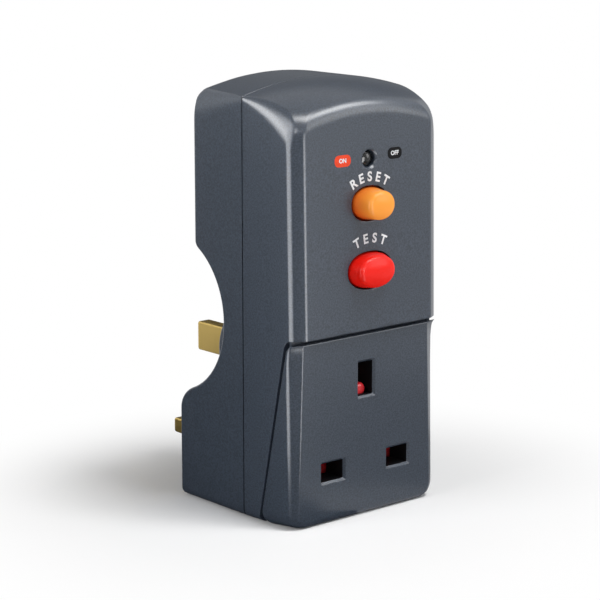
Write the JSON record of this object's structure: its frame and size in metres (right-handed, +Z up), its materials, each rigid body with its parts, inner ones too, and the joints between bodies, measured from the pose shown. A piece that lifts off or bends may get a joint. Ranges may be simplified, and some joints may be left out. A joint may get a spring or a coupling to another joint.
{
  "type": "residual current adapter plug",
  "caption": "Plug-in residual-current adapter: three-pin plug with finger grips, shuttered socket below, reset and test buttons and a status window above.",
  "frame": {"origin": "on the base, in the middle of the width, at the parting plane of the two shells", "axes": "+X to the right seen from the socket side, +Y from the socket side to the plug pins, +Z up"},
  "size_m": [0.0504, 0.0733, 0.1107],
  "materials": {
    "case_plastic": "satin, finely speckled",
    "shutter_red": "gloss",
    "reset_orange": "gloss",
    "test_red": "gloss",
    "lens_clear": "polished",
    "drum_black": "matte",
    "band_orange": "matte",
    "pin_brass": "polished",
    "sleeve_black": "satin",
    "contact_brass": "stamped",
    "bar_copper": "stamped",
    "contact_silver": "polished",
    "inner_ivory": "satin",
    "carrier_grey": "satin",
    "steel": "zinc plated",
    "board_green": "solder mask",
    "core_grey": "coated",
    "winding_copper": "enamelled",
    "chip_black": "matte",
    "varistor_blue": "dipped",
    "capacitor_yellow": "moulded",
    "resistor_tan": "lacquered"
  },
  "bodies": {
    "case": {"rear_shell": "case_plastic", "front_shell": "case_plastic", "socket_cover": "case_plastic", "shutter_spring": "steel", "reset_spring": "steel", "test_spring": "steel", "test_pads": "contact_brass", "status_window": "lens_clear", "earth_pin": "pin_brass", "live_pin": "pin_brass", "neutral_pin": "pin_brass", "live_sleeve": "sleeve_black", "neutral_sleeve": "sleeve_black", "earth_clip": "contact_brass", "live_clip": "contact_brass", "neutral_clip": "contact_brass", "contact_carrier": "carrier_grey", "live_supply_bar": "bar_copper", "neutral_supply_bar": "bar_copper", "live_load_bar": "bar_copper", "neutral_load_bar": "bar_copper", "fixed_contacts": "contact_silver", "carriage_springs": "steel", "mechanism_frame": "inner_ivory", "circuit_board": "board_green", "toroid_core": "core_grey", "toroid_winding": "winding_copper", "solenoid_bracket": "steel", "coil_bobbin": "inner_ivory", "trip_coil": "winding_copper", "plunger_spring": "steel", "latch_pin": "steel", "latch_spring": "steel", "control_chip": "chip_black", "varistor": "varistor_blue", "capacitor": "capacitor_yellow", "test_resistor": "resistor_tan", "case_screws": "steel", "board_screws": "steel", "carrier_screws": "steel"},
    "reset": {"reset_button": "reset_orange"},
    "test": {"test_button": "test_red", "test_bridge": "contact_brass"},
    "shutter": {"shutter": "shutter_red"},
    "carriage": {"contact_carriage": "inner_ivory", "live_bridge": "bar_copper", "neutral_bridge": "bar_copper"},
    "flag": {"status_drum": "drum_black", "status_band": "band_orange"},
    "plunger": {"trip_plunger": "steel"},
    "latch": {"latch_lever": "steel"}
  },
  "joints": [
    {"name": "reset_press", "type": "slide", "parent": "case", "child": "reset", "axis": [0, 1, 0], "range_m": [0, 0.003], "stiffness_N_per_m": 400, "springref_m": -0.004, "deforming": ["reset_spring", "carriage_springs"]},
    {"name": "test_press", "type": "slide", "parent": "case", "child": "test", "axis": [0, 1, 0], "range_m": [0, 0.002], "stiffness_N_per_m": 400, "springref_m": -0.004, "deforming": ["test_spring"]},
    {"name": "shutter_slide", "type": "slide", "parent": "case", "child": "shutter", "axis": [0, 0, -1], "range_m": [0, 0.006], "stiffness_N_per_m": 150, "springref_m": -0.006, "deforming": ["shutter_spring"]},
    {"name": "carriage_slide", "type": "slide", "parent": "case", "child": "carriage", "axis": [0, 1, 0], "range_m": [0, 0.003]},
    {"name": "flag_turn", "type": "hinge", "parent": "case", "child": "flag", "pos_m": [0, -0.01217, 0.0915], "axis": [1, 0, 0], "range_deg": [0, 75]},
    {"name": "plunger_slide", "type": "slide", "parent": "case", "child": "plunger", "axis": [-1, 0, 0], "range_m": [0, 0.0015], "stiffness_N_per_m": 200, "springref_m": -0.003, "deforming": ["plunger_spring"]},
    {"name": "latch_swing", "type": "hinge", "parent": "case", "child": "latch", "pos_m": [-0.01225, -0.003, 0.1023], "axis": [0, 1, 0], "range_deg": [0, 18]}
  ],
  "couplings": [
    {"joint": "carriage_slide", "follows": "reset_press", "ratio": 1},
    {"joint": "flag_turn", "follows": "reset_press", "rad_per_m": 436.3},
    {"joint": "latch_swing", "follows": "plunger_slide", "rad_per_m": 209.4}
  ]
}
